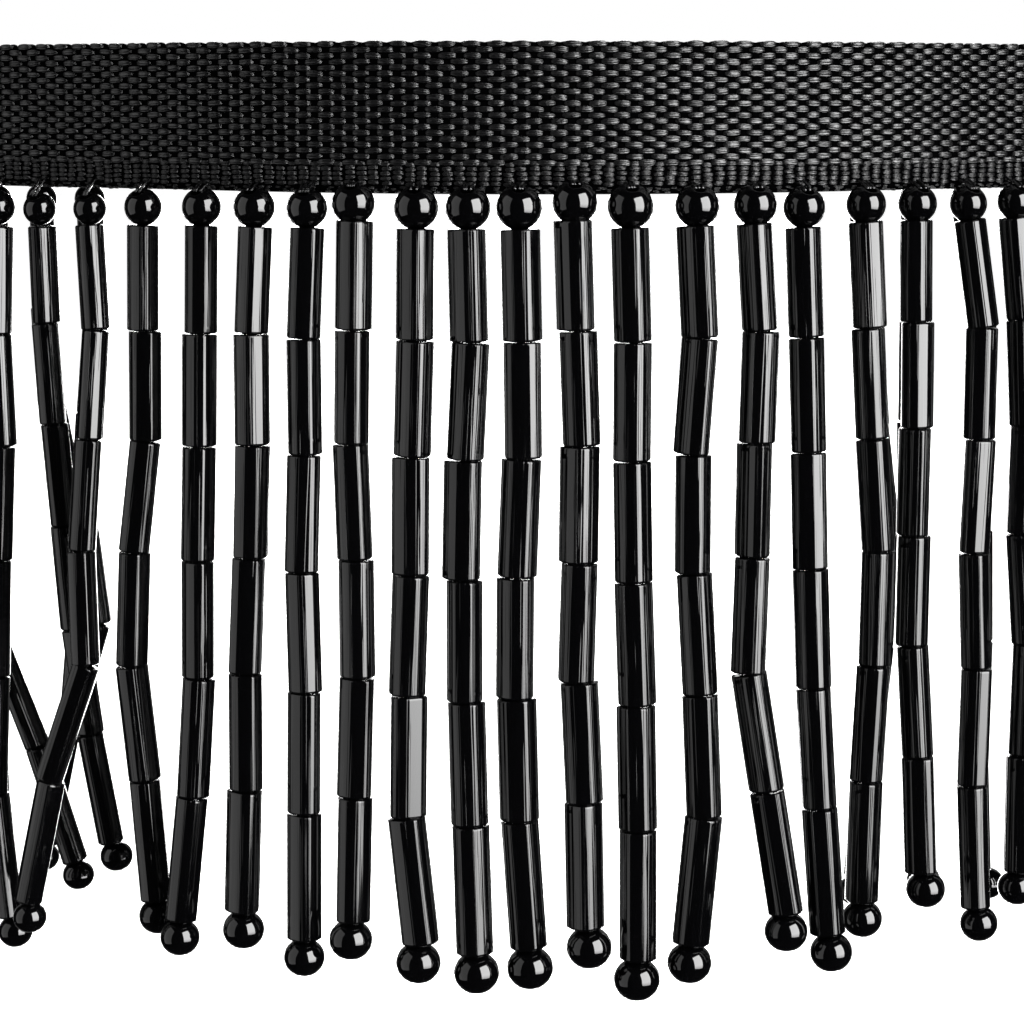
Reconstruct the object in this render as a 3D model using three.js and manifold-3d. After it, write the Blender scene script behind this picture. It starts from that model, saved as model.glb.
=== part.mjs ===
// A cut length of beaded fringe trim, hung by the top edge of its woven tape.
// Millimetres, +Z up. The origin is the middle of the tape's top edge. The beaded side faces -Y,
// and both ends of the tape curl back towards +Y.
import * as THREE from 'three';
import { mergeVertices } from 'three/addons/utils/BufferGeometryUtils.js';
import Module from 'manifold-3d';

const wasm = await Module();
wasm.setup();

// Tape sizes
const TAPE_HEIGHT = 8.1;
const TAPE_THICKNESS = 1.0;
const STRIP_HEIGHT = 1.5;
const SPLIT_GAP = 0.3;
const TAPE_BOTTOM = -TAPE_HEIGHT - SPLIT_GAP - STRIP_HEIGHT;

// How the tape hangs, seen from above: the front bends gently, and each end curls back behind it
const MIDDLE_FLAT = 2.8;
const FACET_LENGTH = 2.8;
const CURL_FACET_LENGTH = 1.5;
const FRONT_RADIUS = 52;
const FRONT_LENGTH = 28.1;
const RIGHT_RUNS = [
  { run: 'front', length: FRONT_LENGTH, radius: FRONT_RADIUS },
  { run: 'straight', length: 9.0, radius: Infinity },
  { run: 'curl', length: 16.3, radius: 5.5 },
  { run: 'behind', length: 8.0, radius: Infinity },
];
const LEFT_RUNS = [
  { run: 'front', length: FRONT_LENGTH, radius: FRONT_RADIUS },
  { run: 'straight', length: 15.0, radius: Infinity },
  { run: 'curl', length: 14.4, radius: 5.0 },
  { run: 'behind', length: 6.0, radius: Infinity },
];

// Bead sizes
const TOP_BEAD_RADIUS = 1.4;
const TOP_BEAD_DROP = 0.92;
const BUGLE_DIAMETER = 2.45;
const BUGLE_LENGTHS = [7.15, 7.5, 7.7, 7.95, 8.15, 8.6];
const BUGLES_LENGTH = BUGLE_LENGTHS.reduce((sum, length) => sum + length);
const BUGLE_GAP = 0.2;
const END_BEAD_RADIUS = 1.5;
// An end bead sits this far up in its last bugle's mouth
const END_BEAD_NEST = 0.25;
const THREAD_DIAMETER = 0.5;
// A strand's thread leaves the lower band this far over its bottom edge, on the band's beaded face
const STITCH_RISE = 0.7;
const STITCH_WIDTH = 0.7;
const STITCH_FORWARD = 0.45;
// A top bead follows its first bugle's rise by this share
const BEAD_LIFT = 0.35;
// The strands hang this far in front of the middle of the tape's thickness
const STRAND_FORWARD = 1.0;
// A square of this share of a circle's diameter has about the circle's area
const SQUARE_SHARE = 0.886;
// A round bead's belts, with their height over its middle and their half-width as shares of its radius
const BEAD_BELTS = [
  { rise: 0.92, share: 0.4 },
  { rise: 0.42, share: 0.92 },
  { rise: -0.42, share: 0.92 },
  { rise: -0.92, share: 0.4 },
];
// Points nearer than this are one point
const MERGE_DISTANCE = 1e-5;
// The fringe fans out by this share of the distance from the middle, at the foot of a strand
const FAN = 0.045;

// Each strand: its place along the tape from the middle, its bugles' drop, how much higher than usual
// its first bugle sits, its beads' share of the usual diameter, the sideways sway at the six bugle feet
// and the end bead, and how far its foot swings towards the back
const STRANDS = [
  {along: -58.9, drop: 48.6, rise: 0, size: 0.8, sway: [0.5, 0.1, -0.25, 1, -1.3, -2.9, -3.1], back: 0},
  {along: -55.5, drop: 47.2, rise: 0, size: 0.8, sway: [0.1, 0.7, 2.25, 2.85, 2.25, 0.2, 0], back: 4.5},
  {along: -52.6, drop: 48.6, rise: 0, size: 0.8, sway: [0.1, 0.4, 0.1, 0, 0, 0.5, 0.8], back: 0.5},
  {along: -48.4, drop: 48.55, rise: 0, size: 0.8, sway: [0, 0.2, 1.4, 3.1, 6.4, 9.4, 9.8], back: 0},
  {along: -45.2, drop: 49.4, rise: 0, size: 0.8, sway: [-0.1, -0.3, -0.2, 0, -0.2, -0.3, -0.4], back: -0.6},
  {along: -41.6, drop: 50.95, rise: -0.5, size: 0.85, sway: [-0.1, 0.3, 0.1, 0.1, 0, 1.1, 1.7], back: 0},
  {along: -37.75, drop: 45.35, rise: -0.4, size: 0.8, sway: [0.4, 1, 1.8, 2.6, 3.8, 5.4, 5.8], back: 2},
  {along: -33.2, drop: 48.05, rise: -0.2, size: 0.8, sway: [0.5, 0.1, -0.3, 0.2, -2.3, -3.8, -3.6], back: -2},
  {along: -28.5, drop: 47.85, rise: -0.1, size: 0.9, sway: [0.1, 0.25, -0.5, -0.6, 0.35, 1.15, 1.3], back: 0.6},
  {along: -23.7, drop: 48.3, rise: 0, size: 0.93, sway: [-0.05, -0.1, -0.1, 0.05, -0.35, -1.1, -1.2], back: -0.4},
  {along: -19.7, drop: 47.3, rise: 0, size: 0.97, sway: [-0.2, -0.1, -0.2, -0.5, -0.4, -0.45, -0.5], back: 0},
  {along: -15.9, drop: 48.9, rise: 0, size: 0.95, sway: [-0.15, -0.1, -0.25, 0, 0, 0, 0], back: 0},
  {along: -12.7, drop: 47.3, rise: 0.5, size: 1, sway: [-0.05, -0.1, 0.2, 0.4, 0.2, 0.15, 0], back: 0},
  {along: -8.5, drop: 48.6, rise: 0, size: 1.03, sway: [0, -0.25, -0.2, -0.5, -0.55, 0.4, 0.3], back: 0},
  {along: -5.1, drop: 49.15, rise: 0, size: 1.04, sway: [0.2, -0.15, -0.2, -0.15, 0.15, 0.55, 0.7], back: 0},
  {along: -1.8, drop: 48.7, rise: 0, size: 1.06, sway: [0.15, 0.3, -0.05, -0.15, 0.05, 0.65, 0.85], back: 0},
  {along: 1.8, drop: 47.3, rise: 0.6, size: 1.04, sway: [0.15, 0.4, 0.35, 0.2, 0.65, 0.85, 1.05], back: 0},
  {along: 5.4, drop: 49.6, rise: 0.1, size: 1.06, sway: [0.15, 0.15, 0.2, 0.4, 0.65, 0.65, 0.5], back: 0},
  {along: 9.8, drop: 48.7, rise: 0.2, size: 1.02, sway: [0.35, -0.2, -0.2, 0.25, 0.55, -0.4, -0.5], back: 0},
  {along: 13.75, drop: 46.8, rise: 0.3, size: 1, sway: [0.35, 0.1, -0.1, -0.45, 0.8, 2.2, 2.1], back: 0},
  {along: 17.2, drop: 48.5, rise: 0, size: 0.98, sway: [0.2, 0.3, 0.45, 0.6, 1, 1.6, 1.8], back: -0.4},
  {along: 21.8, drop: 47, rise: 0.3, size: 0.94, sway: [0.25, 0.5, 0.9, 0.6, 0.05, -0.4, -0.3], back: 0.6},
  {along: 25.9, drop: 45.3, rise: 0.3, size: 0.92, sway: [-0.1, -0.15, -0.3, -0.5, -0.15, 0.1, 0.4], back: 0},
  {along: 30.3, drop: 48.5, rise: 0.2, size: 0.9, sway: [1, 0.75, 0.3, 0.5, 0.15, 0.35, 0.6], back: 0},
  {along: 34.6, drop: 46.5, rise: 0.3, size: 0.9, sway: [0.5, 0.6, 0.3, 0.7, 0.3, 0, -0.2], back: 0},
  {along: 38.6, drop: 48.7, rise: 0, size: 0.9, sway: [0.2, 0.3, 0.5, 0.6, 0.4, 0.5, 0.5], back: 0},
  {along: 42.8, drop: 49.5, rise: 0, size: 0.9, sway: [0.1, 0, 0.2, 0.3, 0.2, 0.4, 0.3], back: -0.4},
  {along: 47.1, drop: 49.6, rise: 0, size: 0.85, sway: [0.8, 0.7, 0.5, 0.7, 0.6, 0.8, 1.2], back: -0.6},
  {along: 51.4, drop: 50.3, rise: 0, size: 0.85, sway: [1.2, 0.9, 0.8, 0.8, 0.5, 0.5, 1.4], back: 0.3},
  {along: 55.2, drop: 49.6, rise: 0, size: 0.85, sway: [-0.1, -0.3, -0.3, -0.4, 0, 0.2, 0.4], back: 0},
  {along: 59.4, drop: 50, rise: 0, size: 0.85, sway: [0.4, 0.8, 1.6, 1.05, 0.1, -0.7, -0.9], back: 0},
];

// The tape's middle line at a distance along it from the middle: the point seen from above, the
// direction of the tape and the direction that its beaded side faces
function tapeAt(along) {
  const side = along < 0 ? -1 : 1;
  let left = Math.abs(along);
  let x = 0;
  let y = 0;
  let heading = 0;
  for (const { length, radius } of along < 0 ? LEFT_RUNS : RIGHT_RUNS) {
    const step = Math.min(left, length);
    if (radius === Infinity) {
      x += step * Math.cos(heading);
      y += step * Math.sin(heading);
    } else {
      const turned = heading + step / radius;
      x += radius * (Math.sin(turned) - Math.sin(heading));
      y -= radius * (Math.cos(turned) - Math.cos(heading));
      heading = turned;
    }
    left -= step;
  }
  return {
    point: new THREE.Vector2(side * x, y),
    direction: new THREE.Vector2(Math.cos(heading), side * Math.sin(heading)),
    outward: new THREE.Vector2(side * Math.sin(heading), -Math.cos(heading)),
  };
}

// The distances along one side of the tape where its facets meet, from the middle facet outwards
function facetEnds(runs) {
  const ends = [MIDDLE_FLAT / 2];
  let start = 0;
  for (const { run, length } of runs) {
    const from = Math.max(start, MIDDLE_FLAT / 2);
    const stretch = start + length - from;
    const facets = Math.ceil(stretch / (run === 'curl' ? CURL_FACET_LENGTH : FACET_LENGTH));
    for (let i = 1; i <= facets; i += 1) {
      ends.push(from + (stretch * i) / facets);
    }
    start += length;
  }
  return ends;
}

// An upright band that follows the tape, from one height to another
function band(bottom, top) {
  const stops = [...facetEnds(LEFT_RUNS).reverse().map((along) => -along), ...facetEnds(RIGHT_RUNS)];
  const offset = (along, out) => {
    const { point, outward } = tapeAt(along);
    return point.clone().addScaledVector(outward, out);
  };
  const beaded = stops.map((along) => offset(along, TAPE_THICKNESS / 2));
  const back = stops.map((along) => offset(along, -TAPE_THICKNESS / 2)).reverse();
  const outline = new THREE.Shape([...beaded, ...back]);
  const geometry = new THREE.ExtrudeGeometry(outline, { depth: top - bottom, bevelEnabled: false });
  geometry.translate(0, 0, bottom);
  return geometry;
}

// A closed solid through level squares, each with its middle and half its side
function stackOfSquares(squares, direction) {
  const across = new THREE.Vector3(direction.x, direction.y, 0);
  const away = new THREE.Vector3(-direction.y, direction.x, 0);
  const corners = [[-1, -1], [1, -1], [1, 1], [-1, 1]];
  const positions = [];
  const triangles = [];
  for (const { middle, half } of squares) {
    for (const [u, v] of corners) {
      const corner = middle.clone().addScaledVector(across, u * half).addScaledVector(away, v * half);
      positions.push(corner.x, corner.y, corner.z);
    }
  }
  for (let ring = 0; ring + 1 < squares.length; ring += 1) {
    for (let i = 0; i < 4; i += 1) {
      const a = ring * 4 + i;
      const b = ring * 4 + ((i + 1) % 4);
      triangles.push(a, a + 4, b + 4, a, b + 4, b);
    }
  }
  const last = (squares.length - 1) * 4;
  triangles.push(0, 1, 2, 0, 2, 3);
  triangles.push(last, last + 2, last + 1, last, last + 3, last + 2);
  const geometry = new THREE.BufferGeometry();
  geometry.setAttribute('position', new THREE.Float32BufferAttribute(positions, 3));
  geometry.setIndex(triangles);
  return geometry;
}

// The heights and half-widths of a strand's squares, from its stitch and top bead down to its end bead
function strandProfile({ drop, rise, size }) {
  const profile = [];
  const thread = (THREAD_DIAMETER / 2) * SQUARE_SHARE;
  const bugle = (BUGLE_DIAMETER / 2) * SQUARE_SHARE * size;
  const addBead = (centre, radius) => {
    for (const belt of BEAD_BELTS) {
      profile.push({ z: centre + belt.rise * radius, half: belt.share * radius * SQUARE_SHARE });
    }
  };
  const topRadius = TOP_BEAD_RADIUS * size;
  const topBead = TAPE_BOTTOM - TOP_BEAD_DROP - TOP_BEAD_RADIUS + topRadius + BEAD_LIFT * rise;
  profile.push({ z: TAPE_BOTTOM + STITCH_RISE, half: STITCH_WIDTH / 2, forward: STITCH_FORWARD });
  addBead(topBead, topRadius);
  profile.push({ z: Math.min(topBead - topRadius, usualStart() + rise), half: thread });
  const stretch = (drop + rise) / (BUGLES_LENGTH + BUGLE_GAP * (BUGLE_LENGTHS.length - 1));
  let z = usualStart() + rise - BUGLE_GAP / 2;
  for (const [i, length] of BUGLE_LENGTHS.entries()) {
    if (i > 0) {
      profile.push({ z: z + (BUGLE_GAP / 2) * stretch, half: thread });
    }
    profile.push({ z, half: bugle });
    z -= length * stretch;
    profile.push({ z, half: bugle });
    z -= BUGLE_GAP * stretch;
  }
  addBead(z + END_BEAD_NEST - END_BEAD_RADIUS * size, END_BEAD_RADIUS * size);
  return profile;
}

// The height at which a strand's bugles usually start
function usualStart() {
  return TAPE_BOTTOM - TOP_BEAD_DROP - TOP_BEAD_RADIUS;
}

// One strand: it hangs in front of the tape's lower edge, fans out and sways between its beads
function strand(row) {
  const { along, drop, rise, sway, back } = row;
  const { point, direction, outward } = tapeAt(along);
  const root = point.clone().addScaledVector(outward, STRAND_FORWARD);
  const profile = strandProfile(row);
  const foot = profile.at(-1).z;
  const joints = [usualStart() + rise];
  for (const length of BUGLE_LENGTHS) {
    joints.push(joints.at(-1) - (length / BUGLES_LENGTH) * (drop + rise));
  }
  joints.push(foot + END_BEAD_RADIUS);
  const swayAt = (z) => {
    const offsets = [0, ...sway];
    if (z >= joints[0]) {
      return 0;
    }
    for (let i = 0; i + 1 < joints.length; i += 1) {
      if (z >= joints[i + 1]) {
        const share = (joints[i] - z) / (joints[i] - joints[i + 1]);
        return THREE.MathUtils.lerp(offsets[i], offsets[i + 1], share);
      }
    }
    return offsets.at(-1);
  };
  const squares = profile.map(({ z, half, forward = STRAND_FORWARD }) => {
    const fallen = Math.max(0, (joints[0] - z) / (joints[0] - foot));
    const hang = root.clone().addScaledVector(outward, forward - STRAND_FORWARD);
    const x = hang.x * (1 + FAN * fallen) + swayAt(z);
    const y = hang.y + back * fallen;
    return { middle: new THREE.Vector3(x, y, z), half };
  });
  return stackOfSquares(squares, direction);
}

// Boolean joins of closed geometries
function solidOf(geometry) {
  const bare = geometry.clone();
  bare.deleteAttribute('normal');
  bare.deleteAttribute('uv');
  const merged = mergeVertices(bare, MERGE_DISTANCE);
  const mesh = new wasm.Mesh({
    numProp: 3,
    vertProperties: new Float32Array(merged.attributes.position.array),
    triVerts: new Uint32Array(merged.index.array),
  });
  return new wasm.Manifold(mesh);
}

function geometryOf(solid) {
  const mesh = solid.getMesh();
  const geometry = new THREE.BufferGeometry();
  geometry.setAttribute('position', new THREE.Float32BufferAttribute(mesh.vertProperties, 3));
  geometry.setIndex(Array.from(mesh.triVerts));
  geometry.computeVertexNormals();
  return geometry;
}

// The woven tape without its lower band
function tape() {
  const material = new THREE.MeshStandardMaterial({ color: 0x16161a, roughness: 0.55, metalness: 0 });
  const mesh = new THREE.Mesh(band(-TAPE_HEIGHT, 0), material);
  mesh.name = 'tape';
  return mesh;
}

// The tape's lower band with the strands sewn into it
function fringe() {
  let solid = solidOf(band(TAPE_BOTTOM, TAPE_BOTTOM + STRIP_HEIGHT));
  for (const row of STRANDS) {
    solid = solid.add(solidOf(strand(row)));
  }
  const material = new THREE.MeshStandardMaterial({ color: 0x08080a, roughness: 0.08, metalness: 0 });
  const mesh = new THREE.Mesh(geometryOf(solid), material);
  mesh.name = 'fringe';
  return mesh;
}

const trim = new THREE.Group();
trim.add(tape(), fringe());

export default trim;
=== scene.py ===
# A cut length of beaded fringe trim: a woven tape with strands of black glass beads, in metres.
import math
import random

import bpy
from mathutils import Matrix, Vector


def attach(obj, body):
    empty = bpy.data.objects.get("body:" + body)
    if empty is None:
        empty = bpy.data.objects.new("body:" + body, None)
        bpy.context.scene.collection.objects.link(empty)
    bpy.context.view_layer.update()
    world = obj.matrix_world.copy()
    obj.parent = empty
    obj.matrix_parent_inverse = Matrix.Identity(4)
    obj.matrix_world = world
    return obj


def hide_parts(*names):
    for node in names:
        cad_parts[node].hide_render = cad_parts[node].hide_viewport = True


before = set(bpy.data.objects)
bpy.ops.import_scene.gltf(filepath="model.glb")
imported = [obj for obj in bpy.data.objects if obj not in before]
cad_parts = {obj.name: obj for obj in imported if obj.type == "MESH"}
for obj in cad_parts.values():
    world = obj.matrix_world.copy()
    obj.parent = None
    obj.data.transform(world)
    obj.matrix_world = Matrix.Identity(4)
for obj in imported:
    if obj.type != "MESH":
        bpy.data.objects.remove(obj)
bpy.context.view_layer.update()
MM = 0.001

# Tape sizes, as in the part
TAPE_HEIGHT = 9.9 * MM
INFINITE = math.inf
RIGHT_RUNS = [
    {"run": "front", "length": 28.1 * MM, "radius": 52 * MM},
    {"run": "straight", "length": 9.0 * MM, "radius": INFINITE},
    {"run": "curl", "length": 16.3 * MM, "radius": 5.5 * MM},
    {"run": "behind", "length": 8.0 * MM, "radius": INFINITE},
]
LEFT_RUNS = [
    {"run": "front", "length": 28.1 * MM, "radius": 52 * MM},
    {"run": "straight", "length": 15.0 * MM, "radius": INFINITE},
    {"run": "curl", "length": 14.4 * MM, "radius": 5.0 * MM},
    {"run": "behind", "length": 6.0 * MM, "radius": INFINITE},
]
RIGHT_END = sum(run["length"] for run in RIGHT_RUNS)
LEFT_END = -sum(run["length"] for run in LEFT_RUNS)

# Weave sizes: yarn floats over the tape in staggered rows, shorter ones in the lower band, and fine
# ones along the lower edge. Each float shows a few filaments side by side.
COLUMN_PITCH = 0.822 * MM
ROW_PITCH = 0.389 * MM
BODY_FLOAT = dict(half_length=0.61 * MM, half_height=0.212 * MM, crown=0.09 * MM, rise=0.22 * MM)
BAND_TOP = 7.95 * MM
BAND_ROW_PITCH = 0.325 * MM
BAND_ROWS = 5
BAND_FLOAT = dict(half_length=0.37 * MM, half_height=0.146 * MM, crown=0.05 * MM, rise=0.20 * MM)
EDGE_FLOAT = dict(half_length=0.24 * MM, half_height=0.075 * MM, crown=0.03 * MM, rise=0.15 * MM)
EDGE_ROWS = 3
EDGE_ROW_PITCH = 0.12 * MM
FILAMENTS = 4.5

# The ground under the floats: its thickness, its rounded rims, the cords of its lower edge, the small
# scallops of its top edge, and how far its lower edge dips in the middle
BASE_HALF_THICKNESS = 0.27 * MM
BASE_RIM = 0.2 * MM
BASE_RIM_SHARE = 0.3
SELVEDGE_TOP = 9.52 * MM
SELVEDGE_CORDS = 3
SELVEDGE_CORD_RISE = 0.08 * MM
SCALLOP = 0.035 * MM
EDGE_DIP = 0.12 * MM
EDGE_DIP_REACH = 26 * MM
BASE_STEPS_PER_COLUMN = 3
BASE_ROWS = 48

# Where the rows of floats start below the top of the tape, the band and the edge, and how they wander
# and slip, the slip as a share of the band's pitch
FIRST_ROW = 0.16 * MM
ROW_OVERLAP = 0.1 * MM
ROW_WANDER = dict(reach=0.04 * MM, per_column=0.37, per_row=1.9)
BAND_START = 0.02 * MM
BAND_STAGGER = 0.27 * MM
BAND_SLIP = 0.4
EDGE_START = 0.09 * MM

# How far single floats stray, in millimetres
ROW_STRAY = 0.015
BAND_STRAY = 0.07
EDGE_STRAY_DOWN = 0.03
EDGE_STRAY_ALONG = 0.35

# The form of one yarn float: how its sizes vary, how far it wraps round its yarn, how deep its ends
# lie, how its width and height fade towards its left and right ends, and how far its texture may shift
FLOAT_LENGTHS = (0.93, 1.06)
FLOAT_HEIGHTS = (0.92, 1.06)
FLOAT_RISES = (0.9, 1.1)
FLOAT_LEAN = 0.05
FLOAT_WRAP = math.radians(105)
FLOAT_SINK = 0.06 * MM
ARCH_SINK = 0.03 * MM
SWELL_POWERS = {"left": 2.2, "right": 3}
ARCH_POWERS = {"left": 5, "right": 2.2}
END_WIDTH = 0.12
END_CROWN = 0.2
TEXTURE_SHIFTS = 50

# Bead sizes and places, as in the part
TOP_BEAD_RADIUS = 1.4 * MM
TOP_BEAD_DROP = 0.92 * MM
BUGLE_RADIUS = 1.225 * MM
BUGLE_LENGTHS = [7.15 * MM, 7.5 * MM, 7.7 * MM, 7.95 * MM, 8.15 * MM, 8.6 * MM]
BUGLE_GAP = 0.2 * MM
END_BEAD_RADIUS = 1.5 * MM
END_BEAD_NEST = 0.25 * MM
STRAND_FORWARD = 1.0 * MM
BEAD_FOOT = 0.92
FAN = 0.045

# How the top beads rest in the mouths of the bugles: their lift for each millimetre of a strand's rise,
# how much lower and how much larger than usual they are, and how far their holes tip to the front
BEAD_LIFT = 0.6
TOP_BEAD_SINK = 0.1 * MM
TOP_BEAD_SHARE = 1.03
TOP_BEAD_TIP = math.radians(30)

# The forms of the round beads: the hole, the flat round it, as a share of the hole, each bead's height
# as a share of its width, and how much of its thread's lean an end bead takes
BEAD_HOLE_RADIUS = 0.42 * MM
BEAD_FLAT = 1.4
TOP_BEAD_SQUASH = 0.98
END_BEAD_SQUASH = 0.94
BEAD_ARC_STEPS = 14
BEAD_SEGMENTS = 32
END_BEAD_LEAN = 0.6

# The form of a bugle: how far it reaches past its place at each end, its bevel, the shoulder below the
# bevel that keeps the shading crisp, as a share of the bevel, and its hole and mouth
BUGLE_REACH = 0.065 * MM
BUGLE_BEVEL = 0.08 * MM
BUGLE_SHOULDER = 2.2
BUGLE_HOLE_RADIUS = 0.5 * MM
BUGLE_MOUTH_RADIUS = 0.72 * MM
MOUTH_DEPTH = 0.35 * MM
BUGLE_SEGMENTS = 80
SHARP_EDGE = math.radians(50)

# How the bugles differ: their widths, how far they jog, in millimetres, and tilt, across the strand and
# from front to back, and how far any bead may spin on its thread
BUGLE_WIDTHS = (0.985, 1.03)
JOG_ACROSS = 0.08
JOG_DEPTH = 0.06
TILT_ACROSS = 0.012
TILT_DEPTH = 0.01
FULL_TURN = 6.28

# The bugles' sections: how oval they are, the flats round them, as the numbers of waves to choose from
# and the least and most depth of a wave, and the least bend that a flat keeps
MOST_OVAL = 0.12
SECTION_WAVES = [
    ((3, 4, 5, 6), 0.3, 0.8),
    ((7, 8, 9, 11), 0.2, 0.7),
    ((13, 15, 17), 0.2, 0.6),
]
LEAST_BEND = 0.06

# How the sections lie to the big soft box: the angle of the normal that mirrors it, from the section's
# x axis, the share of beads with a flat there, and how far the rest stray
GLINT_NORMAL = math.radians(67)
BROAD_GLINTS = 0.16
GLINT_SPREAD = 0.9

# The thread inside each strand, how far into the end bead it reaches, as a share of the bead's radius,
# and the steps of its texture from point to point
THREAD_RADIUS = 0.2 * MM
THREAD_SIDES = 6
THREAD_END = 0.8
THREAD_TEXTURE_STEP = (0.1, 0.37)

# The stitches above each top bead: how many there may be, their spread along the tape, how much closer
# they are at the bead, where they leave the tape and how much lower some do, in millimetres, how they
# arch over its edge, and how deep in the bead they end
STITCH_COUNTS = (2, 3, 3, 4)
STITCH_SPREAD = 1.1 * MM
STITCH_STRAY = 0.1
STITCH_CLOSING = 0.6
STITCH_RADIUS = 0.10 * MM
STITCH_TOP = 9.15 * MM
STITCH_TOP_STRAY = 0.15
STITCH_ARCH_OUT = 0.25 * MM
STITCH_ARCH_UP = 0.12 * MM
STITCH_DEPTH = 0.1 * MM
STITCH_STEPS = 6
STITCH_SIDES = 6
STITCH_TEXTURE_STEPS = 3

# Each strand: its place along the tape from the middle, its bugles' drop, how much higher than usual
# its first bugle sits, its beads' share of the usual diameter, the sideways sway at the six bugle feet
# and the end bead, and how far its foot swings towards the back, in millimetres
STRAND_COLUMNS = ["along", "drop", "rise", "size", "sway", "back"]
STRAND_ROWS = [
    [-58.9, 48.6, 0, 0.8, [0.5, 0.1, -0.25, 1, -1.3, -2.9, -3.1], 0],
    [-55.5, 47.2, 0, 0.8, [0.1, 0.7, 2.25, 2.85, 2.25, 0.2, 0], 4.5],
    [-52.6, 48.6, 0, 0.8, [0.1, 0.4, 0.1, 0, 0, 0.5, 0.8], 0.5],
    [-48.4, 48.55, 0, 0.8, [0, 0.2, 1.4, 3.1, 6.4, 9.4, 9.8], 0],
    [-45.2, 49.4, 0, 0.8, [-0.1, -0.3, -0.2, 0, -0.2, -0.3, -0.4], -0.6],
    [-41.6, 50.95, -0.5, 0.85, [-0.1, 0.3, 0.1, 0.1, 0, 1.1, 1.7], 0],
    [-37.75, 45.35, -0.4, 0.8, [0.4, 1, 1.8, 2.6, 3.8, 5.4, 5.8], 2],
    [-33.2, 48.05, -0.2, 0.8, [0.5, 0.1, -0.3, 0.2, -2.3, -3.8, -3.6], -2],
    [-28.5, 47.85, -0.1, 0.9, [0.1, 0.25, -0.5, -0.6, 0.35, 1.15, 1.3], 0.6],
    [-23.7, 48.3, 0, 0.93, [-0.05, -0.1, -0.1, 0.05, -0.35, -1.1, -1.2], -0.4],
    [-19.7, 47.3, 0, 0.97, [-0.2, -0.1, -0.2, -0.5, -0.4, -0.45, -0.5], 0],
    [-15.9, 48.9, 0, 0.95, [-0.15, -0.1, -0.25, 0, 0, 0, 0], 0],
    [-12.7, 47.3, 0.5, 1, [-0.05, -0.1, 0.2, 0.4, 0.2, 0.15, 0], 0],
    [-8.5, 48.6, 0, 1.03, [0, -0.25, -0.2, -0.5, -0.55, 0.4, 0.3], 0],
    [-5.1, 49.15, 0, 1.04, [0.2, -0.15, -0.2, -0.15, 0.15, 0.55, 0.7], 0],
    [-1.8, 48.7, 0, 1.06, [0.15, 0.3, -0.05, -0.15, 0.05, 0.65, 0.85], 0],
    [1.8, 47.3, 0.6, 1.04, [0.15, 0.4, 0.35, 0.2, 0.65, 0.85, 1.05], 0],
    [5.4, 49.6, 0.1, 1.06, [0.15, 0.15, 0.2, 0.4, 0.65, 0.65, 0.5], 0],
    [9.8, 48.7, 0.2, 1.02, [0.35, -0.2, -0.2, 0.25, 0.55, -0.4, -0.5], 0],
    [13.75, 46.8, 0.3, 1, [0.35, 0.1, -0.1, -0.45, 0.8, 2.2, 2.1], 0],
    [17.2, 48.5, 0, 0.98, [0.2, 0.3, 0.45, 0.6, 1, 1.6, 1.8], -0.4],
    [21.8, 47, 0.3, 0.94, [0.25, 0.5, 0.9, 0.6, 0.05, -0.4, -0.3], 0.6],
    [25.9, 45.3, 0.3, 0.92, [-0.1, -0.15, -0.3, -0.5, -0.15, 0.1, 0.4], 0],
    [30.3, 48.5, 0.2, 0.9, [1, 0.75, 0.3, 0.5, 0.15, 0.35, 0.6], 0],
    [34.6, 46.5, 0.3, 0.9, [0.5, 0.6, 0.3, 0.7, 0.3, 0, -0.2], 0],
    [38.6, 48.7, 0, 0.9, [0.2, 0.3, 0.5, 0.6, 0.4, 0.5, 0.5], 0],
    [42.8, 49.5, 0, 0.9, [0.1, 0, 0.2, 0.3, 0.2, 0.4, 0.3], -0.4],
    [47.1, 49.6, 0, 0.85, [0.8, 0.7, 0.5, 0.7, 0.6, 0.8, 1.2], -0.6],
    [51.4, 50.3, 0, 0.85, [1.2, 0.9, 0.8, 0.8, 0.5, 0.5, 1.4], 0.3],
    [55.2, 49.6, 0, 0.85, [-0.1, -0.3, -0.3, -0.4, 0, 0.2, 0.4], 0],
    [59.4, 50, 0, 0.85, [0.4, 0.8, 1.6, 1.05, 0.1, -0.7, -0.9], 0],
]
STRANDS = [dict(zip(STRAND_COLUMNS, row)) for row in STRAND_ROWS]

# The photo's camera: level with the tape and tipped down a little
CAMERA_DISTANCE = 180 * MM
CAMERA_X = -2.3 * MM
CAMERA_Z = -3.77 * MM
CAMERA_PITCH = math.radians(7.6)
CAMERA_LENS = 95.34
CAMERA_SENSOR = 36
CAMERA_SHIFT = -0.05
CAMERA_NEAREST = 0.005
CAMERA_FURTHEST = 20

# Colours: near black, at the dark and the light ends of each material, and the studio's
GLASS_BLACK = (0.0005, 0.0005, 0.0006, 1)
YARN_DARK = (0.0004, 0.0004, 0.0005, 1)
YARN_LIGHT = (0.0016, 0.0016, 0.0018, 1)
# The ground's colours, darker than the yarn's, are painted shade for the gaps between the floats
SHADED_GROUND_DARK = (0.0002, 0.0002, 0.0002, 1)
SHADED_GROUND_LIGHT = (0.0007, 0.0007, 0.0008, 1)
BLACK = (0, 0, 0, 1)
WHITE = (1, 1, 1, 1)
DIM_ROOM = (0.012, 0.012, 0.013, 1)
PALE_FLOOR = (0.8, 0.8, 0.8, 1)

# How fine the noise in each material is, across and down its texture, and how deep its relief
GLASS_GRAIN = (34, 0.3, 1)
YARN_GRAIN = (7.0, 7.0, 1)
GROUND_GRAIN = (2.0, 16.0, 1)
DRAWN_LINE_DEPTH = 0.006 * MM
ROUND_LINE_DEPTH = 0.0004 * MM
YARN_DEPTH = 0.03 * MM
GROUND_DEPTH = 0.05 * MM

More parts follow.
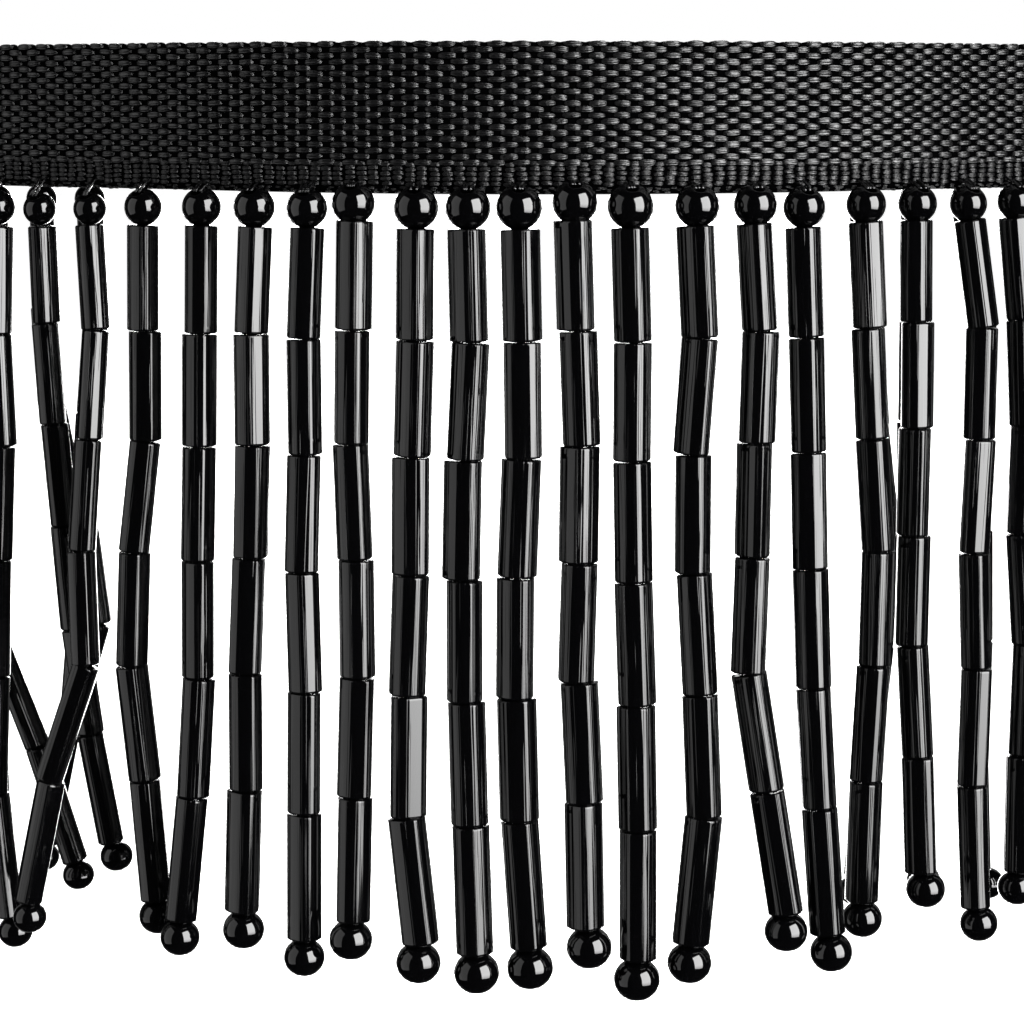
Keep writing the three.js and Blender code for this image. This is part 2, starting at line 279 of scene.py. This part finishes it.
# Blender's wave texture turns this many radians for each unit of its scale
WAVE_TEXTURE_RATE = 20

# The studio's glowing cards, placed round the beads: azimuth and elevation in degrees, distance, width
# and height in metres, strength, and the share of the height, from its foot, over which a card dims.
# Below them, how bright such a foot is, the point that all cards face, and the floor.
CARDS = [
    ["softbox_right", 47.5, 13, 0.6, 0.51, 0.78, 14.5, 0.27],
    ["softbox_left", -73, 9, 0.6, 0.60, 1.0, 0.92, 0],
    ["backdrop", 180, 8, 0.9, 1.5, 1.1, 0.35, 0],
    ["low_backdrop", 180, -42, 0.7, 0.9, 0.45, 0.15, 0],
    ["softbox_back", 180, 0, 0.6, 0.24, 0.7, 13, 0],
]
CARD_FOOT_LIGHT = 0.52
STUDIO_AIM = Vector((0, 0.008, -0.03))
FLOOR_HALF_WIDTH = 3.0
FLOOR_LEVEL = -0.115
SQUARE = ((-1, -1), (1, -1), (1, 1), (-1, 1))


def make_camera():
    data = bpy.data.cameras.new("camera")
    data.lens = CAMERA_LENS
    data.sensor_width = CAMERA_SENSOR
    data.shift_y = CAMERA_SHIFT
    data.clip_start = CAMERA_NEAREST
    data.clip_end = CAMERA_FURTHEST
    camera = bpy.data.objects.new("camera", data)
    camera.location = (CAMERA_X, -CAMERA_DISTANCE, CAMERA_Z)
    camera.rotation_euler = (math.pi / 2 - CAMERA_PITCH, 0, 0)
    bpy.context.scene.collection.objects.link(camera)
    bpy.context.scene.camera = camera


def tape_at(along):
    """The middle of the tape, seen from above, its direction and the way its beaded side faces."""
    side = -1 if along < 0 else 1
    left = abs(along)
    x = y = heading = 0.0
    for run in LEFT_RUNS if along < 0 else RIGHT_RUNS:
        step = min(left, run["length"])
        if run["radius"] == INFINITE:
            x += step * math.cos(heading)
            y += step * math.sin(heading)
        else:
            turned = heading + step / run["radius"]
            x += run["radius"] * (math.sin(turned) - math.sin(heading))
            y -= run["radius"] * (math.cos(turned) - math.cos(heading))
            heading = turned
        left -= step
    point = Vector((side * x, y, 0))
    direction = Vector((math.cos(heading), side * math.sin(heading), 0))
    outward = Vector((side * math.sin(heading), -math.cos(heading), 0))
    return point, direction, outward


def new_mesh(name, points, faces, uvs, material):
    """A smooth piece of the object, with texture coordinates for each corner of each face."""
    mesh = bpy.data.meshes.new(name)
    mesh.from_pydata([tuple(p) for p in points], [], faces)
    layer = mesh.uv_layers.new(name="uv")
    corners = [c for face in uvs for uv in face for c in uv]
    layer.data.foreach_set("uv", corners)
    mesh.polygons.foreach_set("use_smooth", [True] * len(mesh.polygons))
    mesh.materials.append(material)
    obj = bpy.data.objects.new(name, mesh)
    bpy.context.scene.collection.objects.link(obj)
    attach(obj, "root")
    return obj


# Materials

def principled(name, values):
    """A new material, its shader with these values, and its nodes and links."""
    material = bpy.data.materials.new(name)
    material.use_nodes = True
    nodes = material.node_tree.nodes
    shader = nodes["Principled BSDF"]
    set_sockets(shader, values)
    return material, shader, nodes, material.node_tree.links


def set_sockets(node, values):
    for socket, value in values.items():
        node.inputs[socket].default_value = value


def new_node(nodes, kind, values):
    node = nodes.new(kind)
    set_sockets(node, values)
    return node


def new_ramp(nodes, low, low_colour, high, high_colour):
    ramp = nodes.new("ShaderNodeValToRGB")
    first, second = ramp.color_ramp.elements
    first.position = low
    first.color = low_colour
    second.position = high
    second.color = high_colour
    return ramp


def new_noise(nodes, links, grain, detail):
    """The mesh's own texture coordinates, and noise over them."""
    uv = nodes.new("ShaderNodeUVMap")
    uv.uv_map = "uv"
    stretch = new_node(nodes, "ShaderNodeMapping", {"Scale": grain})
    noise = new_node(nodes, "ShaderNodeTexNoise", {"Scale": 1, "Detail": detail})
    links.new(uv.outputs["UV"], stretch.inputs["Vector"])
    links.new(stretch.outputs["Vector"], noise.inputs["Vector"])
    return uv, noise


def glass_material(name, line_depth):
    """Opaque black glass, with faint drawn lines along each bead."""
    material, shader, nodes, links = principled(name, {"Base Color": GLASS_BLACK, "IOR": 1.52})
    _, noise = new_noise(nodes, links, GLASS_GRAIN, 2)
    lines = new_ramp(nodes, 0.50, BLACK, 0.56, WHITE)
    rough = new_node(nodes, "ShaderNodeMapRange",
                     {"From Min": 0.3, "From Max": 0.8, "To Min": 0.03, "To Max": 0.09})
    bump = new_node(nodes, "ShaderNodeBump", {"Strength": 1.0, "Distance": line_depth})
    links.new(noise.outputs["Fac"], rough.inputs["Value"])
    links.new(rough.outputs["Result"], shader.inputs["Roughness"])
    links.new(noise.outputs["Fac"], lines.inputs["Fac"])
    links.new(lines.outputs["Color"], bump.inputs["Height"])
    links.new(bump.outputs["Normal"], shader.inputs["Normal"])
    return material


def yarn_material(name, smooth, rough, shine):
    """Black filament yarn: a few filaments side by side along each float, with finer ones between."""
    material, shader, nodes, links = principled(name, {"IOR": 1.5, "Specular IOR Level": shine})
    uv, noise = new_noise(nodes, links, YARN_GRAIN, 2)
    filaments = new_node(nodes, "ShaderNodeTexWave", {
        "Scale": FILAMENTS * 2 * math.pi / WAVE_TEXTURE_RATE,
        "Distortion": 2.6,
        "Detail": 1,
        "Detail Scale": 1.5,
    })
    filaments.wave_type = "BANDS"
    filaments.bands_direction = "Y"
    colour = new_ramp(nodes, 0.3, YARN_DARK, 0.75, YARN_LIGHT)
    sheen = new_node(nodes, "ShaderNodeMapRange",
                     {"From Min": 0.3, "From Max": 0.7, "To Min": rough, "To Max": smooth})
    bump = new_node(nodes, "ShaderNodeBump", {"Strength": 1.0, "Distance": YARN_DEPTH})
    fine = new_node(nodes, "ShaderNodeBump", {"Strength": 1.0, "Distance": YARN_DEPTH})
    links.new(uv.outputs["UV"], filaments.inputs["Vector"])
    links.new(noise.outputs["Fac"], colour.inputs["Fac"])
    links.new(colour.outputs["Color"], shader.inputs["Base Color"])
    links.new(noise.outputs["Fac"], sheen.inputs["Value"])
    links.new(sheen.outputs["Result"], shader.inputs["Roughness"])
    links.new(filaments.outputs["Fac"], bump.inputs["Height"])
    links.new(noise.outputs["Fac"], fine.inputs["Height"])
    links.new(bump.outputs["Normal"], fine.inputs["Normal"])
    links.new(fine.outputs["Normal"], shader.inputs["Normal"])
    return material


def shaded_ground_material():
    """The tape's black ground between the floats; its darker colour and lack of sheen are painted shade.
    """
    material, shader, nodes, links = principled("shaded_black_ground", {"IOR": 1.45, "Specular IOR Level": 0.0})
    _, noise = new_noise(nodes, links, GROUND_GRAIN, 3)
    # Painted shade: the ground is darker than the yarn and has no sheen, so the gaps between floats stay
    # black
    colour = new_ramp(nodes, 0.35, SHADED_GROUND_DARK, 0.7, SHADED_GROUND_LIGHT)
    rough = new_node(nodes, "ShaderNodeMapRange", {"To Min": 0.5, "To Max": 0.7})
    bump = new_node(nodes, "ShaderNodeBump", {"Strength": 1.0, "Distance": GROUND_DEPTH})
    links.new(noise.outputs["Fac"], colour.inputs["Fac"])
    links.new(colour.outputs["Color"], shader.inputs["Base Color"])
    links.new(noise.outputs["Fac"], rough.inputs["Value"])
    links.new(rough.outputs["Result"], shader.inputs["Roughness"])
    links.new(noise.outputs["Fac"], bump.inputs["Height"])
    links.new(bump.outputs["Normal"], shader.inputs["Normal"])
    return material


# The woven tape

def make_tape(material):
    """The tape itself, closed, that the yarn floats lie on; its ground's darker colour is painted shade.
    """
    columns = math.ceil((RIGHT_END - LEFT_END) / COLUMN_PITCH * BASE_STEPS_PER_COLUMN)
    points = []
    coords = []
    for i in range(columns + 1):
        along = LEFT_END + (RIGHT_END - LEFT_END) * i / columns
        middle, _, outward = tape_at(along)
        scallop = SCALLOP * (1 + math.cos(2 * math.pi * along / COLUMN_PITCH))
        dip = EDGE_DIP * max(0.0, 1 - (along / EDGE_DIP_REACH) ** 2)
        for sign in (1, -1):
            for j in range(BASE_ROWS + 1) if sign == 1 else range(BASE_ROWS, -1, -1):
                depth = TAPE_HEIGHT * j / BASE_ROWS
                rim = min(1.0, min(depth, TAPE_HEIGHT - depth) / BASE_RIM)
                round_rim = math.sqrt(1 - (1 - rim) ** 2)
                out = BASE_HALF_THICKNESS * (BASE_RIM_SHARE + (1 - BASE_RIM_SHARE) * round_rim)
                if depth > SELVEDGE_TOP:
                    share = (depth - SELVEDGE_TOP) / (TAPE_HEIGHT - SELVEDGE_TOP)
                    out += SELVEDGE_CORD_RISE * abs(math.sin(math.pi * SELVEDGE_CORDS * share))
                p = middle + outward * (sign * out)
                share = depth / TAPE_HEIGHT
                points.append((p.x, p.y, -depth - scallop * (1 - share) - dip * share))
                coords.append((along / MM, sign * depth / MM))
    ring = 2 * (BASE_ROWS + 1)
    faces = []
    for i in range(columns):
        for j in range(ring):
            a = i * ring + j
            b = i * ring + (j + 1) % ring
            faces.append((a, b, b + ring, a + ring))
    faces.append(tuple(range(ring - 1, -1, -1)))
    last = columns * ring
    faces.append(tuple(range(last, last + ring)))
    uvs = [[coords[v] for v in face] for face in faces]
    tape = new_mesh("woven_tape", points, faces, uvs, material)
    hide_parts("tape", "fringe")
    return tape


def eased(s, powers):
    """1 in the middle of a float and 0 at its ends, which lie at s = -1 and s = 1."""
    return (1 - abs(s) ** powers["right" if s > 0 else "left"]) ** 0.5


def add_float(shapes, rng, along, depth, size, side, steps, ring):
    """One yarn float: a closed bundle of filaments that comes out of the tape, bends over a crossing
    yarn and goes back in. side is 1 on the beaded side and -1 on the back."""
    start = len(shapes.points)
    half_length = size["half_length"] * rng.uniform(*FLOAT_LENGTHS)
    half_height = size["half_height"] * rng.uniform(*FLOAT_HEIGHTS)
    rise = size["rise"] * rng.uniform(*FLOAT_RISES)
    lean = rng.uniform(-FLOAT_LEAN, FLOAT_LEAN)
    shift = rng.uniform(0, TEXTURE_SHIFTS)
    for i in range(steps + 1):
        s = -math.cos(math.pi * i / steps)
        middle, _, outward = tape_at(along + s * half_length)
        swell = eased(s, SWELL_POWERS)
        bow = BASE_HALF_THICKNESS - FLOAT_SINK + (rise - ARCH_SINK) * eased(s, ARCH_POWERS)
        for k in range(ring):
            angle = -FLOAT_WRAP + 2 * FLOAT_WRAP * k / (ring - 1)
            across = half_height * (END_WIDTH + (1 - END_WIDTH) * swell) * math.sin(angle)
            out = bow + size["crown"] * (END_CROWN + (1 - END_CROWN) * swell) * math.cos(angle)
            p = middle + outward * (side * out)
            shapes.points.append(Vector((p.x, p.y, -depth - across + lean * s * half_length)))
    for i in range(steps):
        for k in range(ring):
            m = (k + 1) % ring
            a = start + i * ring
            shapes.faces.append((a + k, a + m, a + ring + m, a + ring + k))
            corners = ((i, k), (i, k + 1), (i + 1, k + 1), (i + 1, k))
            shapes.uvs.append([(shift + u / steps, shift + v / (ring - 1)) for u, v in corners])
    last = start + steps * ring
    for cap in (range(start + ring - 1, start - 1, -1), range(last, last + ring)):
        shapes.faces.append(tuple(cap))
        shapes.uvs.append([(shift, shift)] * ring)


def stray(rng, millimetres):
    """A small random distance to either side."""
    return rng.uniform(-millimetres, millimetres) * MM


def weave_places(rng):
    """Where the yarn floats of the body, the lower band and the lower edge lie: along the tape, and
    below its top."""
    body = []
    band = []
    edge = []
    first = math.ceil((LEFT_END + BODY_FLOAT["half_length"]) / COLUMN_PITCH)
    last = math.floor((RIGHT_END - BODY_FLOAT["half_length"]) / COLUMN_PITCH)
    for c in range(first, last + 1):
        along = c * COLUMN_PITCH
        row = 0
        while True:
            depth = FIRST_ROW + row * ROW_PITCH
            if depth > BAND_TOP + ROW_OVERLAP:
                break
            if (row + c) % 2 == 0:
                phase = ROW_WANDER["per_column"] * c + ROW_WANDER["per_row"] * row
                wander = ROW_WANDER["reach"] * math.sin(phase)
                body.append((along + wander, depth + stray(rng, ROW_STRAY)))
            row += 1
        shift = rng.uniform(0, BAND_SLIP) * BAND_ROW_PITCH
        if c % 2 == 0:
            shift += BAND_STAGGER
        for k in range(BAND_ROWS):
            depth = BAND_TOP + BAND_START + shift + k * BAND_ROW_PITCH
            if depth < SELVEDGE_TOP - BAND_START:
                band.append((along + stray(rng, BAND_STRAY), depth))
        for k in range(EDGE_ROWS):
            depth = SELVEDGE_TOP + EDGE_START + k * EDGE_ROW_PITCH + stray(rng, EDGE_STRAY_DOWN)
            edge.append((along + stray(rng, EDGE_STRAY_ALONG), depth))
    return body, band, edge


def make_weave(material):
    """The yarn floats on both faces of the tape."""
    rng = random.Random(3)
    body, band, edge = weave_places(rng)
    pieces = []
    # Each piece of the weave: its floats' places and size, the side, and the steps along a float and
    # round it
    for name, places, size, side, steps, ring in (
        ("front_weave", body, BODY_FLOAT, 1, 7, 7),
        ("front_band_weave", band, BAND_FLOAT, 1, 6, 7),
        ("front_edge_weave", edge, EDGE_FLOAT, 1, 5, 5),
        ("back_edge_weave", edge, EDGE_FLOAT, -1, 4, 5),
        ("back_weave", body, BODY_FLOAT, -1, 5, 5),
        ("back_band_weave", band, BAND_FLOAT, -1, 4, 5),
    ):
        shapes = Shapes()
        for along, depth in places:
            add_float(shapes, rng, along, depth, size, side, steps, ring)
        piece = new_mesh(name, shapes.points, shapes.faces, shapes.uvs, material)
        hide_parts("tape", "fringe")
        pieces.append(piece)
    return pieces


# Beads and threads, gathered as shapes and joined into one mesh for each kind

class Shapes:
    def __init__(self):
        self.points = []
        self.faces = []
        self.uvs = []

    def add_lathe(self, profile, axis_top, axis, spin, segments, outline=None):
        """A closed ring of the profile, a list of (radius, distance down the axis) that ends where it
        starts, round an axis. outline gives the section's points for a radius of 1, which only the
        outside follows: holes stay round."""
        side = (Vector((1, 0, 0)) - axis * axis.x).normalized()
        other = axis.cross(side)
        start = len(self.points)
        count = len(profile)
        length = max(d for _, d in profile)
        for s in range(segments):
            angle = 2 * math.pi * s / segments + spin
            round_ray = side * math.cos(angle) + other * math.sin(angle)
            ray = round_ray
            if outline:
                x, y = outline[s]
                ray = side * x + other * y
            for radius, down in profile:
                kept = round_ray if radius <= BUGLE_MOUTH_RADIUS else ray
                self.points.append(axis_top + axis * down + kept * radius)
        for s in range(segments):
            t = (s + 1) % segments
            u0 = spin + s / segments
            u1 = spin + (s + 1) / segments
            for k in range(count):
                m = (k + 1) % count
                self.faces.append((start + s * count + k, start + s * count + m,
                                   start + t * count + m, start + t * count + k))
                v0 = spin + profile[k][1] / length
                v1 = spin + profile[m][1] / length
                self.uvs.append([(u0, v0), (u0, v1), (u1, v1), (u1, v0)])


def drawn_section(rng, segments):
    """The section of a drawn glass tube: round, with soft flats. It is built from its curvature, at
    even steps of its normal, so that the flats and corners shade smoothly. A corner faces the big soft
    box on most beads and a flat on a few, for thin and broad glints."""
    flat = rng.random() < BROAD_GLINTS
    waves = [(2, rng.uniform(0, MOST_OVAL), rng.uniform(0, 2 * math.pi))]
    for counts, least, most in SECTION_WAVES:
        count = rng.choice(counts)
        aim = rng.gauss(0 if flat else math.pi, GLINT_SPREAD)
        waves.append((count, rng.uniform(least, most), GLINT_NORMAL + aim / count))
    x = y = 0.0
    path = []
    step = 2 * math.pi / segments
    for s in range(segments):
        path.append((x, y))
        normal = s * step + step / 2
        bend = 1 + sum(share * math.cos(count * (normal - turn)) for count, share, turn in waves)
        bend = max(bend, LEAST_BEND)
        x -= bend * math.sin(normal) * step
        y += bend * math.cos(normal) * step
    fixed = [(px - x * s / segments, py - y * s / segments) for s, (px, py) in enumerate(path)]
    mx = sum(px for px, _ in fixed) / segments
    my = sum(py for _, py in fixed) / segments
    reach = sum(math.hypot(px - mx, py - my) for px, py in fixed) / segments
    return [((px - mx) / reach, (py - my) / reach) for px, py in fixed]


def strand_points(row):
    """The place of each bead on a strand: its top bead, tops and feet of its bugles, and its end bead."""
    middle, _, outward = tape_at(row["along"] * MM)
    root = middle + outward * STRAND_FORWARD
    drop = row["drop"] * MM
    rise = row["rise"] * MM
    size = row["size"]
    sway = [0.0] + [s * MM for s in row["sway"]]
    usual_start = -TAPE_HEIGHT - TOP_BEAD_DROP - TOP_BEAD_RADIUS
    top_bead = usual_start + TOP_BEAD_RADIUS * size + BEAD_LIFT * rise - TOP_BEAD_SINK
    start = usual_start + rise
    total = sum(BUGLE_LENGTHS)
    joints = [start]
    for length in BUGLE_LENGTHS:
        joints.append(joints[-1] - length / total * (drop + rise))
    stretch = (drop + rise) / (total + BUGLE_GAP * (len(BUGLE_LENGTHS) - 1))
    z = start - BUGLE_GAP / 2
    spans = []
    for length in BUGLE_LENGTHS:
        spans.append((z, z - length * stretch))
        z -= (length + BUGLE_GAP) * stretch
    end_bead = z + END_BEAD_NEST - END_BEAD_RADIUS * size
    foot = end_bead - BEAD_FOOT * END_BEAD_RADIUS * size
    joints.append(foot + END_BEAD_RADIUS)

    def place(height):
        """Where the strand is at a height: its fan, its sway and its swing towards the back."""
        fallen = max(0.0, (start - height) / (start - foot))
        offset = sway[-1]
        if height >= start:
            offset = 0.0
        else:
            for i in range(len(joints) - 1):
                if height >= joints[i + 1]:
                    share = (joints[i] - height) / (joints[i] - joints[i + 1])
                    offset = sway[i] + (sway[i + 1] - sway[i]) * share
                    break
        return Vector((root.x * (1 + FAN * fallen) + offset, root.y + row["back"] * MM * fallen, height))

    return place(top_bead), [(place(a), place(b)) for a, b in spans], place(end_bead)


def bugle_profile(length, radius):
    """A tube with small bevels and sunk mouths, as distances from its axis and down it."""
    bevel = BUGLE_BEVEL
    shoulder = BUGLE_SHOULDER * bevel
    hole = BUGLE_HOLE_RADIUS
    mouth = BUGLE_MOUTH_RADIUS
    return [
        (hole, MOUTH_DEPTH), (mouth, 0), (radius - bevel, 0), (radius, bevel), (radius, shoulder),
        (radius, length - shoulder), (radius, length - bevel), (radius - bevel, length),
        (mouth, length), (hole, length - MOUTH_DEPTH),
    ]


def round_bead_profile(radius, squash):
    """A ball cut flat round its hole, a little shorter than it is wide."""
    hole = BEAD_HOLE_RADIUS
    first = math.asin(hole * BEAD_FLAT / radius)
    arc = []
    for i in range(BEAD_ARC_STEPS + 1):
        a = first + (math.pi - 2 * first) * i / BEAD_ARC_STEPS
        arc.append((radius * math.sin(a), radius - squash * radius * math.cos(a)))
    top = arc[0][1]
    foot = arc[-1][1]
    return [(hole, top)] + arc + [(hole, foot)]


def random_shift(rng, across, depth):
    """A small random move across the strand and from front to back."""
    return Vector((rng.uniform(-across, across), rng.uniform(-depth, depth), 0))


def top_bead_axis(row):
    """The way down through a top bead, whose hole tips towards the viewer's side."""
    _, _, outward = tape_at(row["along"] * MM)
    return (Vector((0, 0, -math.cos(TOP_BEAD_TIP))) - outward * math.sin(TOP_BEAD_TIP)).normalized()


def make_beads(drawn_glass, round_glass):
    """All beads, and the path of the thread through each strand."""
    rng = random.Random(7)
    bugles = {"bugle_beads_left": Shapes(), "bugle_beads_right": Shapes()}
    rounds = Shapes()
    threads = []
    for row in STRANDS:
        top, spans, end = strand_points(row)
        size = row["size"]
        path = [top]
        radius = TOP_BEAD_RADIUS * TOP_BEAD_SHARE * size
        tip = top_bead_axis(row)
        rounds.add_lathe(round_bead_profile(radius, TOP_BEAD_SQUASH), top - tip * radius, tip,
                         rng.uniform(0, FULL_TURN), BEAD_SEGMENTS)
        for upper, lower in spans:
            axis = (lower - upper).normalized()
            length = (lower - upper).length
            jog = random_shift(rng, JOG_ACROSS, JOG_DEPTH) * MM
            tilt = random_shift(rng, TILT_ACROSS, TILT_DEPTH)
            axis = (axis + tilt).normalized()
            middle = (upper + lower) / 2 + jog
            outline = drawn_section(rng, BUGLE_SEGMENTS)
            radius = BUGLE_RADIUS * size * rng.uniform(*BUGLE_WIDTHS)
            half = bugles["bugle_beads_left" if row["along"] < 0 else "bugle_beads_right"]
            half.add_lathe(bugle_profile(length + 2 * BUGLE_REACH, radius),
                           middle - axis * (length / 2 + BUGLE_REACH), axis,
                           rng.uniform(0, FULL_TURN), BUGLE_SEGMENTS, outline)
            path += [upper, lower]
        lean = (end - spans[-1][1]).normalized()
        lean = (Vector((0, 0, -1)) + END_BEAD_LEAN * lean).normalized()
        radius = END_BEAD_RADIUS * size
        rounds.add_lathe(round_bead_profile(radius, END_BEAD_SQUASH), end - lean * radius, lean,
                         rng.uniform(0, FULL_TURN), BEAD_SEGMENTS)
        path += [end, end + lean * (THREAD_END * radius)]
        threads.append(path)
    pieces = []
    for name, shapes in [*bugles.items(), ("round_beads", rounds)]:
        glass = round_glass if shapes is rounds else drawn_glass
        piece = new_mesh(name, shapes.points, shapes.faces, shapes.uvs, glass)
        piece.data.set_sharp_from_angle(angle=SHARP_EDGE)
        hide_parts("fringe")
        pieces.append(piece)
    return pieces, threads


def make_threads(paths, material):
    """A thin tube along each strand's thread."""
    points = []
    faces = []
    sides = THREAD_SIDES
    for path in paths:
        start = len(points)
        for p in path:
            for s in range(sides):
                a = 2 * math.pi * s / sides
                points.append(p + Vector((math.cos(a), math.sin(a), 0)) * THREAD_RADIUS)
        for i in range(len(path) - 1):
            for s in range(sides):
                a = start + i * sides + s
                b = start + i * sides + (s + 1) % sides
                faces.append((a, a + sides, b + sides, b))
        last = start + (len(path) - 1) * sides
        faces.append(tuple(start + s for s in range(sides)))
        faces.append(tuple(last + s for s in range(sides - 1, -1, -1)))
    across, down = THREAD_TEXTURE_STEP
    uvs = [[(across * v, down * v) for v in face] for face in faces]
    piece = new_mesh("threads", points, faces, uvs, material)
    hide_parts("fringe")
    return piece


def make_stitches(material):
    """The few threads that hold each strand to the tape's lower edge: out of the tape, over its edge
    and into the top bead's hole."""
    rng = random.Random(11)
    shapes = Shapes()
    sides = STITCH_SIDES
    for row in STRANDS:
        top, _, _ = strand_points(row)
        mouth = top - top_bead_axis(row) * (TOP_BEAD_RADIUS * row["size"] - STITCH_DEPTH)
        count = rng.choice(STITCH_COUNTS)
        for i in range(count):
            place = (i - (count - 1) / 2) / count + rng.uniform(-STITCH_STRAY, STITCH_STRAY)
            middle, direction, outward = tape_at(row["along"] * MM + place * STITCH_SPREAD)
            below = Vector((0, 0, STITCH_TOP + rng.uniform(0, STITCH_TOP_STRAY) * MM))
            root = middle + outward * BASE_HALF_THICKNESS - below
            foot = mouth + direction * (place * STITCH_SPREAD * STITCH_CLOSING)
            crown = (root + foot) / 2 + outward * STITCH_ARCH_OUT + Vector((0, 0, STITCH_ARCH_UP))
            slanted = (outward + Vector((0, 0, 1))).normalized()
            start = len(shapes.points)
            for k in range(STITCH_STEPS + 1):
                t = k / STITCH_STEPS
                centre = root * (1 - t) ** 2 + crown * (2 * t * (1 - t)) + foot * t ** 2
                for n in range(sides):
                    turn = 2 * math.pi * n / sides
                    across = direction * math.cos(turn) + slanted * math.sin(turn)
                    shapes.points.append(centre + across * STITCH_RADIUS)
            for k in range(STITCH_STEPS):
                for n in range(sides):
                    m = (n + 1) % sides
                    a = start + k * sides
                    shapes.faces.append((a + n, a + m, a + sides + m, a + sides + n))
                    corners = ((k, n), (k, n + 1), (k + 1, n + 1), (k + 1, n))
                    shapes.uvs.append([(u / STITCH_TEXTURE_STEPS, v / sides) for u, v in corners])
            last = start + STITCH_STEPS * sides
            for cap in (range(start + sides - 1, start - 1, -1), range(last, last + sides)):
                shapes.faces.append(tuple(cap))
                shapes.uvs.append([(0, 0)] * sides)
    piece = new_mesh("stitches", shapes.points, shapes.faces, shapes.uvs, material)
    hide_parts("fringe")
    return piece


# The studio

def emitter(name, strength, fade):
    """A glowing material; fade is the share of the card's height, from its foot, over which it dims."""
    material = bpy.data.materials.new(name)
    material.use_nodes = True
    nodes = material.node_tree.nodes
    links = material.node_tree.links
    nodes.clear()
    emission = new_node(nodes, "ShaderNodeEmission", {"Color": WHITE, "Strength": strength})
    output = nodes.new("ShaderNodeOutputMaterial")
    links.new(emission.outputs["Emission"], output.inputs["Surface"])
    if fade:
        uv = nodes.new("ShaderNodeUVMap")
        uv.uv_map = "uv"
        parts = nodes.new("ShaderNodeSeparateXYZ")
        ramp = new_node(nodes, "ShaderNodeMapRange", {
            "From Max": fade,
            "To Min": CARD_FOOT_LIGHT * strength,
            "To Max": strength,
        })
        links.new(uv.outputs["UV"], parts.inputs["Vector"])
        links.new(parts.outputs["Y"], ramp.inputs["Value"])
        links.new(ramp.outputs["Result"], emission.inputs["Strength"])
    return material


def around(azimuth, elevation, distance):
    """A point round the beads, its azimuth measured from the viewer's side towards the right."""
    a = math.radians(azimuth)
    e = math.radians(elevation)
    away = Vector((math.sin(a) * math.cos(e), -math.cos(a) * math.cos(e), math.sin(e)))
    return STUDIO_AIM + away * distance


def make_card(name, centre, width, height, strength, fade):
    """A glowing card that faces the beads, for the soft boxes and the backdrops."""
    z = (STUDIO_AIM - centre).normalized()
    x = Vector((0, 0, 1)).cross(z).normalized()
    y = z.cross(x)
    corners = [centre + x * (width / 2 * a) + y * (height / 2 * b) for a, b in SQUARE]
    mesh = bpy.data.meshes.new(name)
    mesh.from_pydata([tuple(c) for c in corners], [], [(0, 1, 2, 3)])
    layer = mesh.uv_layers.new(name="uv")
    layer.data.foreach_set("uv", [0, 0, 1, 0, 1, 1, 0, 1])
    mesh.materials.append(emitter(name, strength, fade))
    card = bpy.data.objects.new(name, mesh)
    bpy.context.scene.collection.objects.link(card)
    card.visible_camera = False


def make_world():
    """White behind the object for the camera, and a dim room for everything else."""
    world = bpy.data.worlds.new("studio")
    bpy.context.scene.world = world
    world.use_nodes = True
    nodes = world.node_tree.nodes
    links = world.node_tree.links
    nodes.clear()
    output = nodes.new("ShaderNodeOutputWorld")
    mix = nodes.new("ShaderNodeMixShader")
    path = nodes.new("ShaderNodeLightPath")
    dim = new_node(nodes, "ShaderNodeBackground", {"Color": DIM_ROOM})
    white = new_node(nodes, "ShaderNodeBackground", {"Color": WHITE})
    links.new(path.outputs["Is Camera Ray"], mix.inputs["Fac"])
    links.new(dim.outputs["Background"], mix.inputs[1])
    links.new(white.outputs["Background"], mix.inputs[2])
    links.new(mix.outputs["Shader"], output.inputs["Surface"])


def make_floor():
    """A plain pale floor that the beads don't mirror."""
    material, _, _, _ = principled("pale_floor", {
        "Base Color": PALE_FLOOR,
        "Roughness": 0.9,
        "Emission Color": WHITE,
        "Emission Strength": 1.0,
    })
    mesh = bpy.data.meshes.new("floor")
    corners = [(a * FLOOR_HALF_WIDTH, b * FLOOR_HALF_WIDTH, FLOOR_LEVEL) for a, b in SQUARE]
    mesh.from_pydata(corners, [], [(0, 1, 2, 3)])
    mesh.materials.append(material)
    floor = bpy.data.objects.new("floor", mesh)
    bpy.context.scene.collection.objects.link(floor)
    floor.visible_glossy = False


def make_studio():
    for name, azimuth, elevation, distance, width, height, strength, fade in CARDS:
        make_card(name, around(azimuth, elevation, distance), width, height, strength, fade)
    make_world()
    make_floor()
    view = bpy.context.scene.view_settings
    view.view_transform = "Standard"
    view.look = "None"


make_camera()
make_studio()
yarn = yarn_material("black_yarn", smooth=0.25, rough=0.38, shine=0.65)
thread = yarn_material("black_thread", smooth=0.14, rough=0.24, shine=1.0)
ground = shaded_ground_material()
drawn_glass = glass_material("drawn_black_glass", DRAWN_LINE_DEPTH)
round_glass = glass_material("round_black_glass", ROUND_LINE_DEPTH)
tape = make_tape(ground)
weave = make_weave(yarn)
beads, thread_paths = make_beads(drawn_glass, round_glass)
threads = make_threads(thread_paths, thread)
stitches = make_stitches(thread)
